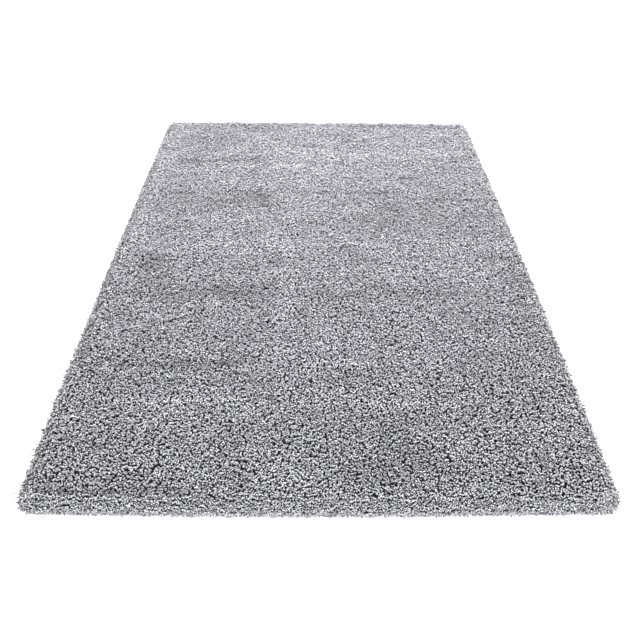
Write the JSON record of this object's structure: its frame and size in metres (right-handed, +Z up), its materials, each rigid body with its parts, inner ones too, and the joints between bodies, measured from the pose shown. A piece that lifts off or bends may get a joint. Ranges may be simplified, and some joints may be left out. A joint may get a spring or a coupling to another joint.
{
  "type": "shag rug",
  "caption": "Flat rectangular shag rug with a deep cut pile of grey mixed yarn, softly rounded corners and locks of yarn spilling over its rim onto the floor.",
  "frame": {"origin": "middle of the underside, on the floor", "axes": "+X across the width, +Y along the length, +Z up out of the pile"},
  "size_m": [1.5992, 2.2984, 0.0345],
  "materials": {
    "pile": "deep cut pile of mixed light, mid and dark grey yarn, dull"
  },
  "bodies": {
    "root": {"shag_rug": "pile"}
  },
  "joints": []
}
